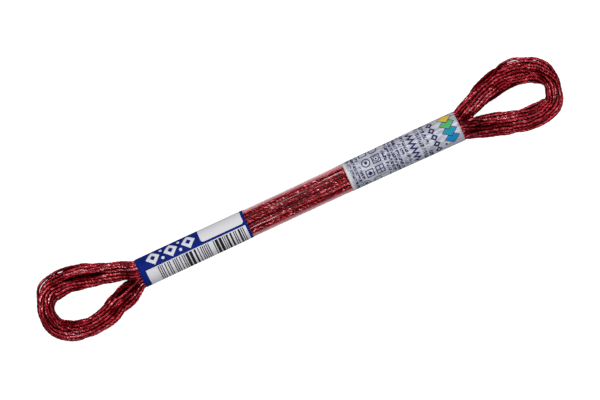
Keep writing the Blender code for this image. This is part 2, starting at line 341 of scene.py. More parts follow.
ANGLES = np.linspace(0, 2 * math.pi, 96, endpoint=False)
COS, SIN = np.cos(ANGLES)[None, :], np.sin(ANGLES)[None, :]


def smallest(reaches):
    """A soft minimum of several reaches, so that corners come out rounded."""
    total = sum(np.maximum(reach, 1e-3) ** -CORNER_SHARPNESS for reach in reaches)
    return total ** (-1 / CORNER_SHARPNESS)


def reach_towards(distance, towards):
    """Reach of a section up to something that is this far away, in directions that run towards
    it. Other directions have no limit."""
    return np.where(towards > LEAST_SLOPE, distance / np.maximum(towards, LEAST_SLOPE), NO_LIMIT)


def uneven_outline():
    """A little swelling and shrinking of each free bundle, different all round it."""
    along = np.linspace(0, 2 * math.pi, STATION_COUNT, endpoint=False)[:, None]
    swell = 0.0
    for waves, around, size in SWELLS:
        phase = RNG.uniform(0, 2 * math.pi)
        swell = swell + size * np.sin(waves * along + around * ANGLES[None] + phase)
    return swell


def free_sections():
    """Middle height and reach of each bundle where it lies free."""
    half_width = WIDE / 2
    half_height = TURNS * THREAD_AREA / PACKING / math.pi / half_width
    across = abs(COS / half_width[:, None]) ** OVAL_POWER
    oval = (across + abs(SIN / half_height[:, None]) ** OVAL_POWER) ** (-1 / OVAL_POWER)
    middle = half_height - SINK
    floor = reach_towards(middle[:, None], -SIN)
    return middle, smallest([oval, floor]) + uneven_outline() + LOOSENESS


def pressed_sections():
    """Middle (out, height) and reach of each run pressed to its half of the sleeve."""
    front, back, top = sleeve_at(X)
    past_mouth = (abs(X) - SLEEVE_END).clip(0, 1)
    in_window = ((X - WINDOW_LEFT) / 2).clip(0, 1) * ((WINDOW_RIGHT - X) / 2).clip(0, 1)
    across = np.where(SIDE > 0, back, front) - FILM + MOUTH_BULGE * past_mouth
    across = across - WINDOW_SLACK * in_window
    up = top - SLEEVE_AXIS - FILM
    lean = TWIST_LEFT + (TWIST_RIGHT - TWIST_LEFT) * (0.5 + X / SLEEVE_END / 2).clip(0, 1)
    normal = np.stack([np.cos(lean), SIDE * np.sin(lean)], axis=1)
    offset = RUN_CENTRE * np.minimum(across, up)
    middle = offset[:, None] * normal
    # Along each direction from the middle, where the bore's ellipse is met.
    a = (COS / across[:, None]) ** 2 + (SIN / up[:, None]) ** 2
    b = COS * (middle[:, :1] / across[:, None] ** 2) + SIN * (middle[:, 1:] / up[:, None] ** 2)
    c = (middle[:, :1] / across[:, None]) ** 2 + (middle[:, 1:] / up[:, None]) ** 2 - 1
    bore = (-b + np.sqrt(b * b - a * c)) / a
    towards_other = -(COS * normal[:, :1] + SIN * normal[:, 1:])
    between = reach_towards(offset[:, None] - RUN_GAP / 2, towards_other)
    height = middle[:, 1] + SLEEVE_AXIS
    floor = reach_towards(height[:, None] - FILM, -SIN)
    return middle[:, 0] - abs(Y), height, smallest([bore, between, floor])


def sections():
    """Middle out, middle height and reach of every station's section."""
    free_middle, free_reach = free_sections()
    out, height, reach = pressed_sections()
    middle_height = free_middle + PRESS * (height - free_middle)
    return PRESS * out, middle_height, free_reach + PRESS[:, None] * (reach - free_reach)


MIDDLE_OUT, MIDDLE_HEIGHT, REACH = sections()


def reach_at(angle):
    """Reach of each station's section at the angles of its strands."""
    place = (angle / (2 * math.pi) * len(ANGLES)) % len(ANGLES)
    low = place.astype(int)
    share = place - low
    rows = np.arange(STATION_COUNT)[None, :]
    return REACH[rows, low] * (1 - share) + REACH[rows, (low + 1) % len(ANGLES)] * share


# -------- the winding


def disc_slots():
    """Evenly spread places in a unit disc, one for each turn, in an order that steps between
    neighbours, because each turn is laid beside the one before."""
    angle = RNG.uniform(0, 2 * math.pi, TURNS)
    slots = np.sqrt(RNG.uniform(0, 1, TURNS))[:, None] * directions(angle)
    spacing = 2 * math.sqrt(DISC_FILL / TURNS)
    for _ in range(DISC_ROUNDS):
        apart = slots[:, None] - slots[None]
        distance = np.linalg.norm(apart, axis=2) + np.eye(TURNS) * FAR
        push = (spacing - distance).clip(0) / distance
        slots = slots + 0.3 * (apart * push[:, :, None]).sum(1)
        reach = np.linalg.norm(slots, axis=1)[:, None]
        slots *= np.minimum(1, (1 - spacing / 2) / reach)
    order = [int(np.argmax(slots[:, 1]))]
    while len(order) < TURNS:
        distance = np.linalg.norm(slots - slots[order[-1]], axis=1)
        distance[order] = FAR
        order.append(int(np.argmin(distance)))
    return slots[order] / (1 - spacing / 2)


def wander(amplitude, length, count=TURNS):
    """Smooth random drift along the thread: two values for each station of every turn."""
    knots = int(count * RING_LENGTH / length) + 2
    values = RNG.normal(0, amplitude, (knots, 2))
    place = np.linspace(0, knots - 2, count * STATION_COUNT)
    low = place.astype(int)
    share = place - low
    share = (share * share * (3 - 2 * share))[:, None]
    drift = values[low] * (1 - share) + values[low + 1] * share
    return drift.reshape(count, STATION_COUNT, 2)


def first_places():
    """Where each turn would lie at every station if nothing pushed it: (turn, station, 2)."""
    slots = disc_slots()
    passed = np.linspace(0, 1, STATION_COUNT, endpoint=False)[None, :, None]
    following = np.vstack([slots[1:], slots[-1:]])
    place = slots[:, None] * (1 - passed) + following[:, None] * passed
    roll = ROLL * np.sin(2 * math.pi * passed[..., 0] + ROLL_START) * (1 - 0.5 * PRESS)[None]
    angle = np.arctan2(place[..., 1], place[..., 0]) + roll
    share = np.linalg.norm(place, axis=2)
    inner = (reach_at(angle) - STRAND_RADIUS).clip(0.1)
    flat = directions(angle) * (inner * share)[..., None]
    clumps = wander(*CLUMP_DRIFT, -(-TURNS // CLUMP)).repeat(CLUMP, axis=0)[:TURNS]
    return flat + clumps + wander(*TURN_DRIFT)


def stray_stretches(places):
    """For each stray stretch, the turn that strays, how wide its gap is at each station, and
    how firmly the turn is held on the outline there."""
    stretches = []
    for stray in map(Stray._make, STRAYS):
        middle = int(np.argmin(np.hypot(X - stray.x, Y - stray.y)))
        steps = np.arange(STATION_COUNT) - middle
        share = abs(steps) * RING_LENGTH / STATION_COUNT / (stray.length / 2)
        gap = stray.open * np.cos(share.clip(0, 1) * math.pi / 2) ** 2
        hold = np.cos((share / STRAY_HOLD).clip(0, 1) * math.pi / 2) ** 2
        stretches.append((int(np.argmax(places[:, middle, 0])), gap, hold))
    return stretches


def limit_at(angle):
    """How far out a strand's middle may lie at each station, at these angles."""
    return (reach_at(angle) - STRAND_RADIUS * SOFTNESS).clip(0.1)


def settle(places):
    """Pushes strands apart, keeps them in their section, and keeps each one smooth."""
    anchor = places.copy()
    strays = stray_stretches(places)
    outermost = limit_at(np.zeros((1, STATION_COUNT)))[0]
    clump = np.arange(TURNS) // CLUMP
    together = (clump[:, None] == clump[None])[..., None]
    apart_spacing = LOOSE_SPACING + (SLEEVE_SPACING - LOOSE_SPACING) * PRESS
    spacing = np.where(together, CLUMP_SPACING, apart_spacing[None, None])
    furrow = FURROW.clip(0, WIDEST_FURROW) * (1 - PRESS) * FURROW_WIDTH / 2
    lowest = STRAND_RADIUS + FILM * PRESS - MIDDLE_HEIGHT
    for _ in range(ROUNDS):
        thread = places.reshape(-1, 2)
        smooth = thread.copy()
        smooth[1:-1] += SMOOTHING * (thread[2:] + thread[:-2] - 2 * thread[1:-1])
        places = smooth.reshape(places.shape)
        places += ANCHORING * (anchor - places)
        apart = places[:, None] - places[None]
        distance = np.sqrt((apart**2).sum(-1)) + np.eye(TURNS)[:, :, None] * FAR + TINY
        push = (spacing - distance).clip(0) / distance
        places = places + PUSHING * (apart * push[..., None]).sum(1)
        over = places[..., 0] - ASIDE
        high = (places[..., 1] > FURROW_FLOOR) & (abs(over) < furrow)
        aside = np.where(over > 0, furrow, -furrow) - over
        places[..., 0] += PULLING * np.where(high, aside, 0)
        limit = limit_at(np.arctan2(places[..., 1], places[..., 0]))
        size = np.linalg.norm(places, axis=2) + 1e-9
        places *= np.minimum(1, limit / size)[..., None]
        for turn, gap, hold in strays:
            kept = places[turn].copy()
            inner = np.where(gap > 0, outermost - gap * (2 * STRAND_RADIUS + STRAY_GAP), FAR)
            places[..., 0] = np.minimum(places[..., 0], inner[None])
            kept[:, 0] += PULLING * hold * (outermost - kept[:, 0])
            places[turn] = kept
        places[..., 1] = np.maximum(places[..., 1], lowest[None])
    return places


def share_hidden(apart, look, radius):
    """How much a round thing hides of what a surface sees, 0 to 1, where the surface looks each
    way and the thing's middle lies this far apart from it."""
    distance = np.linalg.norm(apart, axis=3) + TINY
    ahead = (apart * look).sum(3)
    aside = apart[..., 1] * look[:, 0] - apart[..., 0] * look[:, 1]
    middle = np.arctan2(aside, ahead)
    half = np.arcsin((radius / distance).clip(0, 1))
    low, high = ((middle + edge).clip(-math.pi / 2, math.pi / 2) for edge in (-half, half))
    return (np.sin(high) - np.sin(low)) / 2


def seen_past_neighbours(places):
    """How much of its surroundings each strand's surface sees past the other strands of its
    bundle and the ring's other run, 0 to 1, in each direction: (turn, station, direction)."""
    look = directions(np.linspace(0, 2 * math.pi, LOOKS, endpoint=False))
    surface = STRAND_RADIUS * look[None, None]
    seen = np.ones(places.shape[:2] + (LOOKS,))
    for other in range(TURNS):
        apart = (places[other][None] - places)[:, :, None] - surface
        hidden = share_hidden(apart, look, STRAND_RADIUS)
        hidden[other] = 0
        seen *= 1 - hidden
    # The other run is taken as one round bundle, at the nearest place along the sleeve.
    opposite = np.where(SIDE[:, None] * SIDE < 0, abs(X[:, None] - X), FAR).argmin(1)
    middle = MIDDLE_OUT + abs(Y)
    away = np.stack([-(middle + middle[opposite]), MIDDLE_HEIGHT[opposite] - MIDDLE_HEIGHT], 1)
    radius = np.where(PRESS > 0.5, OTHER_RUN_RADIUS, WIDE[opposite] / 2)
    apart = (away[None] - places)[:, :, None] - surface
    return seen * (1 - share_hidden(apart, look, radius[None, :, None]))


def wound_thread():
    """The middle line of the whole thread, (turn, station, 3), in millimetres, and how much of
    its surroundings its surface sees."""
    places = settle(first_places())
    out = places[..., 0] + MIDDLE_OUT
    line = np.empty((TURNS, STATION_COUNT, 3))
    line[..., :2] = STATIONS[None, :, :2] + out[..., None] * OUTWARD[None]
    line[..., 2] = places[..., 1] + MIDDLE_HEIGHT
    return line, seen_past_neighbours(places)


# -------- meshes


def new_object(name, vertices, faces, material):
    """A smooth mesh object in metres from millimetre points."""
    mesh = bpy.data.meshes.new(name)
    mesh.from_pydata((np.asarray(vertices) * MM).tolist(), [], faces)
    mesh.materials.append(material)
    mesh.shade_smooth()
    mesh.update()
    obj = bpy.data.objects.new(name, mesh)
    bpy.context.scene.collection.objects.link(obj)
    return obj


def point_attribute(obj, name, values):
    """A vector for each vertex, which the material reads by name."""
    layer = obj.data.attributes.new(name, "FLOAT_VECTOR", "POINT")
    layer.data.foreach_set("vector", np.asarray(values, np.float32).ravel())


def even_points(line):
    """Rows along a line, close together where it shows: x, y, z and whatever else a row holds."""
    along = lengths(line[:, :3])
    wanted = [0.0]
    while wanted[-1] < along[-1]:
        wanted.append(wanted[-1] + step_at(np.interp(wanted[-1], along, line[:, 0])))
    wanted[-1] = along[-1]
    return rows_at(wanted, along, line)


def step_at(x):
    """The distance between two rings of points on a strand."""
    at_ends = abs(x) > SLEEVE_END - SHOWN_MARGIN
    at_window = WINDOW_LEFT - SHOWN_MARGIN < x < WINDOW_RIGHT + SHOWN_MARGIN
    return RING_STEP if at_ends or at_window else HIDDEN_STEP


def grid_faces(rings, around):
    """Four-sided faces between rings of points. Each ring's last point repeats its first."""
    index = np.arange(rings * around).reshape(rings, around)
    low, high = index[:-1, :-1].ravel(), index[1:, :-1].ravel()
    return np.stack([low, low + 1, high + 1, high], axis=1)


def rounded(line, factor=4):
    """The line with its corners taken out: a uniform cubic spline through its rows."""
    share = (np.arange(factor) / factor)[:, None]
    padded = np.vstack([2 * line[0] - line[1], line, 2 * line[-1] - line[-2]])
    pieces = [on_curve(*padded[i : i + 4], share) for i in range(len(line) - 1)]
    return np.vstack(pieces + [line[-1:]])


def ply_outline():
    """Angle and reach of the points round a strand: a groove, then two points on the ply. The
    first point comes again at the end."""
    lean = np.radians([-30.0, -12.0, 12.0])
    rise = np.maximum(PLY_RADIUS**2 - (PLY_OFFSET * np.sin(lean)) ** 2, 0)
    reach = PLY_OFFSET * np.cos(lean) + np.sqrt(rise)
    reach[0] = GROOVE_REACH
    angle = np.concatenate([lean + 2 * math.pi * i / PLIES for i in range(PLIES)])
    reach = np.tile(reach, PLIES)
    return np.append(angle, angle[0] + 2 * math.pi), np.append(reach, reach[0])


PLY_ANGLES, PLY_REACH = ply_outline()


def seen_at(seen, station, angle):
    """What a strand's surface sees at fractional stations, a row of angles for each."""
    seen = seen.reshape(-1, LOOKS)
    low = station.astype(int).clip(0, len(seen) - 2)
    share = (station - low)[:, None]
    place = (angle / (2 * math.pi) * LOOKS) % LOOKS
    first = place.astype(int) % LOOKS
    second, between = (first + 1) % LOOKS, place - first
    row = low[:, None]
    before = seen[row, first] * (1 - between) + seen[row, second] * between
    after = seen[row + 1, first] * (1 - between) + seen[row + 1, second] * between
    return before * (1 - share) + after * share


def painted_sheen_at(points):
    """How much painted highlight lies on the foil at each point, -1 to 1; below 0 it is painted
    shade.
    """
    gain = np.zeros(points.shape[:-1])
    for painted_sheen in map(PaintedSheen._make, PAINTED_SHEENS):
        x, y = points[..., 0] - painted_sheen.x, points[..., 1] - painted_sheen.y
        turn = math.radians(painted_sheen.turned)
        along = (x * math.cos(turn) + y * math.sin(turn)) / painted_sheen.long
        across = (y * math.cos(turn) - x * math.sin(turn)) / painted_sheen.wide
        gain += painted_sheen.gain * (1.5 * (1 - along**2 - across**2)).clip(0, 1)
    return gain.clip(-1, 1)


def strand_mesh(rows, seen, number):
    """Vertices, faces and surface values of a stretch of thread. A row is x, y, z, station."""
    line = rows[:, :3]
    run = np.gradient(line, axis=0)
    run /= np.linalg.norm(run, axis=1)[:, None]
    up = UP - run[:, 2:] * run
    up /= np.linalg.norm(up, axis=1)[:, None]
    side = np.cross(up, run)  # out of the ring
    along = lengths(line)
    # The twist and the crimp are uneven: both drift by slow waves along the thread.
    uneven = 0.9 * np.sin(along * 0.23 + number * 1.7) + 0.5 * np.sin(along * 0.61 + number * 0.9)
    turned = 2 * math.pi * along / PLY_TWIST + uneven
    crimp = np.sin(2 * math.pi * along / CRIMP + 1.4 * np.sin(along * 0.37 + number))
    swell = 1 + CRIMP_SHARE * crimp + SLOW_SWELL * np.sin(along * 0.9 + number)
    angle = PLY_ANGLES[None] + turned[:, None]
    reach = PLY_REACH[None] * swell[:, None]
    offset = reach[..., None] * directions(angle)
    points = line[:, None] + offset[..., :1] * side[:, None] + offset[..., 1:] * up[:, None]
    points[..., 2] = np.maximum(points[..., 2], 0.0)
    count, rings = len(PLY_ANGLES), len(line)
    around = np.arange(count)[None] / (count - 1)
    lay = np.stack(np.broadcast_arrays(along[:, None], around, float(number)), axis=-1)
    # For each point: what its surroundings let it see, for painted shade; the painted highlight and
    # shade of the sheens; its x.
    place = [seen_at(seen, rows[:, 3], angle), painted_sheen_at(points), points[..., 0]]
    place = np.stack(place, axis=-1)
    faces = grid_faces(rings, count)
    return points.reshape(-1, 3), faces, lay.reshape(-1, 3), place.reshape(-1, 3)


def face_corners(left, right, bottom, top):
    """The four corners of each face on a flat map, from its edges."""
    left, right, bottom, top = np.broadcast_arrays(left, right, bottom, top)
    corners = np.stack([left, bottom, left, top, right, top, right, bottom], axis=-1)
    return corners.reshape(-1, 4, 2)


def strip_places(rings, around):
    """Flat places for baking a long tube's faces: the tube cut into strips, laid side by side.
    A place for each corner of each face, then for the two end faces."""
    steps = rings - 1
    step_share = RING_STEP / (2 * math.pi * STRAND_RADIUS)  # a face's length to the tube's girth
    strips = max(1, round(math.sqrt(steps * step_share * STRIP_FILL)))
    per_strip = -(-steps // strips)
    strip, row = (part[:, None] for part in divmod(np.arange(steps), per_strip))
    width = 1 / (strips + 1)
    bottom = (strip + (1 - STRIP_FILL) / 2 + STRIP_FILL * np.arange(around) / around) * width
    corners = face_corners(
        row / per_strip, (row + 1) / per_strip, bottom, bottom + STRIP_FILL * width / around
    )
    circle = 0.4 * width * directions(2 * math.pi * np.arange(around) / around)
    ends = [circle + (middle, 1 - width / 2) for middle in (width, 3 * width)]
    return np.concatenate([corners.reshape(-1, 2)] + ends)


def add_thread(name, rows, seen, number, material):
    """One piece: a stretch of the thread, closed at its ends."""
    points, quads, lay, place = strand_mesh(rows, seen, number)
    around = len(PLY_ANGLES) - 1
    first = list(range(around))[::-1]
    last = list(range(len(points) - around - 1, len(points) - 1))
    obj = new_object(name, points, quads.tolist() + [first, last], material)
    point_attribute(obj, "lay", lay)
    point_attribute(obj, "place", place)
    bake_places(obj, strip_places(len(rows), around))
    return obj


def bake_places(obj, places):
    """The flat map that a bake of this piece goes through."""
    layer = obj.data.uv_layers.new(name="OFBake")
    layer.uv.foreach_set("vector", np.asarray(places, np.float32).ravel())


def thread_stretches(line):
    """The thread's rows, cut where a clump of turns ends, hidden in the sleeve."""
    stations = np.arange(TURNS * STATION_COUNT)
    thread = rounded(np.column_stack([line.reshape(-1, 3), stations]))
    stretches = []
    for first in range(0, TURNS, CLUMP):
        start, end = (turn * STATION_COUNT for turn in (first, min(first + CLUMP, TURNS)))
        kept = (thread[:, 3] >= start) & (thread[:, 3] <= end)
        stretches.append(even_points(thread[kept]))
    return stretches


# -------- the film sleeve


HULL_ANGLES = np.linspace(-0.5, 1.5, HULL_COUNT, endpoint=False) * math.pi
HULL_COS, HULL_SIN = np.cos(HULL_ANGLES), np.sin(HULL_ANGLES)


def hull_reach(line, places):
    """How far the outline of the thread in the sleeve reaches in each direction from the
    sleeve's axis: a row for each place along it. The film spans from strand to strand."""
    normals = np.stack([HULL_COS, HULL_SIN])
    reach = np.full((len(places), HULL_COUNT), -FAR)
    for side in (1, -1):
        inside = (SIDE == side) & (abs(X) < SLEEVE_END + 2)
        for turn in line[:, inside]:
            turn = turn[np.argsort(turn[:, 0])]
            y = np.interp(places, turn[:, 0], turn[:, 1])
            z = np.interp(places, turn[:, 0], turn[:, 2]) - SLEEVE_AXIS
            reach = np.maximum(reach, np.stack([y, z], 1) @ normals)
    return reach + STRAND_RADIUS + FILM


def sleeve_reach(places):
    """The same for the CAD sleeve's own outline, a little smaller."""
    front, back, top = sleeve_at(places)
    across = np.where(HULL_COS > 0, back[:, None], front[:, None])
    up = np.where(HULL_SIN > 0, (top - SLEEVE_AXIS)[:, None], SLEEVE_AXIS)
    return np.hypot(across * HULL_COS, up * HULL_SIN) - FILM_EASE


def smoothed_along(reach, width):
    """Each direction's reach averaged along the sleeve, which keeps every section convex."""
    half = int(3 * width / FILM_STEP)
    weights = np.exp(-0.5 * (np.arange(-half, half + 1) * FILM_STEP / width) ** 2)
    padded = np.pad(reach, ((half, half), (0, 0)), mode="edge")
    weights /= weights.sum()
    return sum(weight * padded[i : i + len(reach)] for i, weight in enumerate(weights))


def film_sections(line):
    """Evenly spaced points round the film at each place along it, from the middle of its
    underside round its back, and how far each lies from the top, more than 0 at the back."""
    places = np.linspace(FILM_LEFT, FILM_RIGHT, round((FILM_RIGHT - FILM_LEFT) / FILM_STEP) + 1)
    reach = np.maximum(hull_reach(line, places), sleeve_reach(places))
    for edge in (WINDOW_LEFT, WINDOW_RIGHT):  # a ring of points falls on each window edge
        places[np.argmin(abs(places - edge))] = edge
    window = (places > WINDOW_LEFT) & (places < WINDOW_RIGHT)
    first, last = np.flatnonzero(window)[[0, -1]]
    share = ((np.arange(len(places)) - first) / (last - first)).clip(0, 1)[:, None]
    spanned = reach[first - 1] * (1 - share) + reach[last + 1] * share
    reach = np.where(window[:, None], np.maximum(reach, spanned), reach)
    reach = smoothed_along(reach, FILM_EVENNESS)
    after = np.roll(reach, -1, axis=1)
    turn = HULL_ANGLES[1] - HULL_ANGLES[0]
    along_edge = (after - reach * math.cos(turn)) / math.sin(turn)
    y = reach * HULL_COS - along_edge * HULL_SIN
    z = reach * HULL_SIN + along_edge * HULL_COS
    sections, passed = [], []
    for row_y, row_z in zip(y, z):
        corners = np.stack([row_y, row_z + SLEEVE_AXIS], 1)
        back_half = np.arange(len(corners)) < len(corners) / 2
        folded = (corners[:, 1] < UNDERSIDE) & ((corners[:, 0] > 0) != back_half)
        corners = corners[~folded]
        corners = np.vstack([[0.0, 0.0], corners, [0.0, 0.0]])
        corners[:, 1] = corners[:, 1].clip(0)
        length = lengths(corners)
        wanted = np.linspace(0, length[-1], FILM_POINTS + 1)
        ring = rows_at(wanted, length, corners)
        upper = slice(FILM_POINTS // 6, -(FILM_POINTS // 6))  # no part of the underside
        top = np.interp(0.0, -ring[upper, 0], wanted[upper])
        sections.append(ring)
        passed.append(top - wanted)
    return places, np.array(sections), np.array(passed)


def film_grid(places, sections):
    """Points of the film's outside and of its inside, one film's thickness in."""
    outside = np.empty(sections.shape[:2] + (3,))
    outside[..., 0] = places[:, None]
    outside[..., 1:] = sections
    ahead, behind = np.roll(sections, -1, axis=1), np.roll(sections, 1, axis=1)
    ahead[:, -1], behind[:, 0] = sections[:, 1], sections[:, -2]
    edge = ahead - behind
    edge /= np.linalg.norm(edge, axis=2)[..., None]
    inside = outside.copy()
    inside[..., 1] -= FILM * edge[..., 1]
    inside[..., 2] += FILM * edge[..., 0]
    return outside, inside


def film_places(count):
    """Flat places for baking a stretch of film: most of the map for its outside, then its two
    cut edges, then its inside. A place for each corner of each face."""
    low = np.arange(FILM_POINTS) / FILM_POINTS
    high = low + 1 / FILM_POINTS
    step = np.arange(count - 1)[:, None] / (count - 1)
    after = step + 1 / (count - 1)

    def strip(left, right, before=0.0, behind=1.0):
        width = right - left
        return face_corners(left + width * before, left + width * behind, low, high)

    outside = strip(*OUTSIDE_STRIP, step, after)
    inside = strip(*INSIDE_STRIP, step, after)[:, ::-1]
    first_edge = strip(*FIRST_EDGE_STRIP)[:, [0, 3, 2, 1]]
    last_edge = strip(*LAST_EDGE_STRIP)
    return np.concatenate([outside, inside, first_edge, last_edge]).reshape(-1, 2)


def add_film(name, material, grid, passed, rows):
    """One stretch of the sleeve: its outside, its inside and the cut edges between them."""
    outside, inside = grid[0][rows], grid[1][rows]
    count, around = len(outside), FILM_POINTS + 1
    outer = grid_faces(count, around)
    shift = count * around
    first = np.arange(around - 1)
    rim = np.stack([first, first + shift, first + 1 + shift, first + 1], 1)
    faces = np.vstack([outer, outer[:, ::-1] + shift, rim, rim[:, ::-1] + shift - around])
    points = np.vstack([outside.reshape(-1, 3), inside.reshape(-1, 3)])
    obj = new_object(name, points, faces.tolist(), material)
    place = np.zeros((2, count, around, 3))
    place[..., 0] = outside[..., 0]
    place[..., 1] = passed[rows]
    place[1, ..., 2] = 1
    point_attribute(obj, "print", place.reshape(-1, 3))
    bake_places(obj, film_places(count))
    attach(obj, "root")
    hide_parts("printed_sleeve")


def add_sleeve(line):
    """The film in its three stretches: blue print, clear window, silver print."""
    places, sections, passed = film_sections(line)
    grid = film_grid(places, sections)
    left = int(np.flatnonzero(places == WINDOW_LEFT)[0])
    right = int(np.flatnonzero(places == WINDOW_RIGHT)[0])
    stretches = (
        ("film_blue_print", "printed_film", blue_print_material(), slice(0, left + 1)),
        ("film_clear", "clear_film", clear_film_material(), slice(left, right + 1)),
        ("film_silver_print", "printed_film", silver_print_material(), slice(right, None)),
    )
    for name, slot, material, rows in stretches:
        add_film(name, material, grid, passed, rows)


# -------- node helpers


class Nodes:
    """Short calls for building a material's nodes."""

    def __init__(self, name):
        self.material = bpy.data.materials.new(name)
        self.material.use_nodes = True
        self.tree = self.material.node_tree
        self.shader = self.tree.nodes["Principled BSDF"]

    def node(self, kind, **settings):
        node = self.tree.nodes.new("ShaderNode" + kind)
        for name, value in settings.items():
            setattr(node, name, value)
        return node

    def link(self, value, socket):
        """Links an output to a socket, or gives the socket a plain value."""
        if isinstance(value, bpy.types.NodeSocket):
            self.tree.links.new(value, socket)
        else:
            socket.default_value = value

    def surface(self, name, value):
        self.link(value, self.shader.inputs[name])

    def fed(self, node, *values):
        """Feeds a node's first inputs, and gives its first output."""
        for value, socket in zip(values, node.inputs):
            self.link(value, socket)
        return node.outputs[0]

    def math(self, operation, *values):
        return self.fed(self.node("Math", operation=operation), *values)

    def vector(self, operation, *values):
        return self.fed(self.node("VectorMath", operation=operation), *values)

    def plus(self, total, *values):
        for value in values:
            total = self.math("ADD", total, value)
        return total

    def times(self, total, *values):
        for value in values:
            total = self.math("MULTIPLY", total, value)
        return total

    def minus(self, first, second):
        return self.math("SUBTRACT", first, second)

    def floor_over(self, value, step):
        """Which step a value lies in."""
        return self.math("FLOOR", self.math("DIVIDE", value, step))

    def away(self, value, middle):
        return self.math("ABSOLUTE", self.minus(value, middle))

    def length(self, across, up):
        squares = [self.math("POWER", part, 2.0) for part in (across, up)]
        return self.math("SQRT", self.plus(*squares))

    def attribute(self, name):
        """The three parts of a point attribute."""
        parts = self.node("SeparateXYZ")
        self.fed(parts, self.node("Attribute", attribute_name=name).outputs["Vector"])
        return list(parts.outputs)

    def combine(self, *values):
        return self.fed(self.node("CombineXYZ"), *values)

    def mix(self, share, first, second):
        node = self.node("Mix", data_type="RGBA")
        self.link(share, node.inputs["Factor"])
        self.link(first, node.inputs[6])
        self.link(second, node.inputs[7])
        return node.outputs[2]

    def noise(self, detail, *place):
        node = self.node("TexNoise")
        self.link(self.combine(*place), node.inputs["Vector"])
        node.inputs["Scale"].default_value = 1.0
        node.inputs["Detail"].default_value = detail
        return node.outputs["Fac"]

    def white_noise(self, *place):
        """A random number and a random vector for each place."""
        node = self.node("TexWhiteNoise")
        self.link(self.combine(*place), node.inputs["Vector"])
        return node.outputs["Value"], node.outputs["Color"]

    def lean(self, chance, amount):
        """Tilts the surface by a random vector."""
        offset = self.vector("MULTIPLY_ADD", chance, (amount,) * 3, (-amount / 2,) * 3)
        normal = self.node("NewGeometry").outputs["Normal"]
        self.surface("Normal", self.vector("NORMALIZE", self.vector("ADD", offset, normal)))

    def colour_ramp(self, value, stops):
        node = self.node("ValToRGB")
        elements = node.color_ramp.elements
        while len(elements) < len(stops):
            elements.new(0.5)
        for element, (place, colour) in zip(elements, stops):
            element.position = place
            element.color = colour
        return self.fed(node, value)

    def ramp(self, value, low, high):
        """0 up to low, 1 from high, and even between them."""
        return self.fed(self.node("MapRange", clamp=True), value, low, high)

    def fall(self, value, low, high):
        return self.outside(self.ramp(value, low, high))

    def within(self, value, low, high):
        return self.math("COMPARE", value, (low + high) / 2, (high - low) / 2)

    def either(self, total, *shapes):
        for shape in shapes:
            total = self.math("MAXIMUM", total, shape)
        return total

    def outside(self, shape):
        return self.minus(1.0, shape)


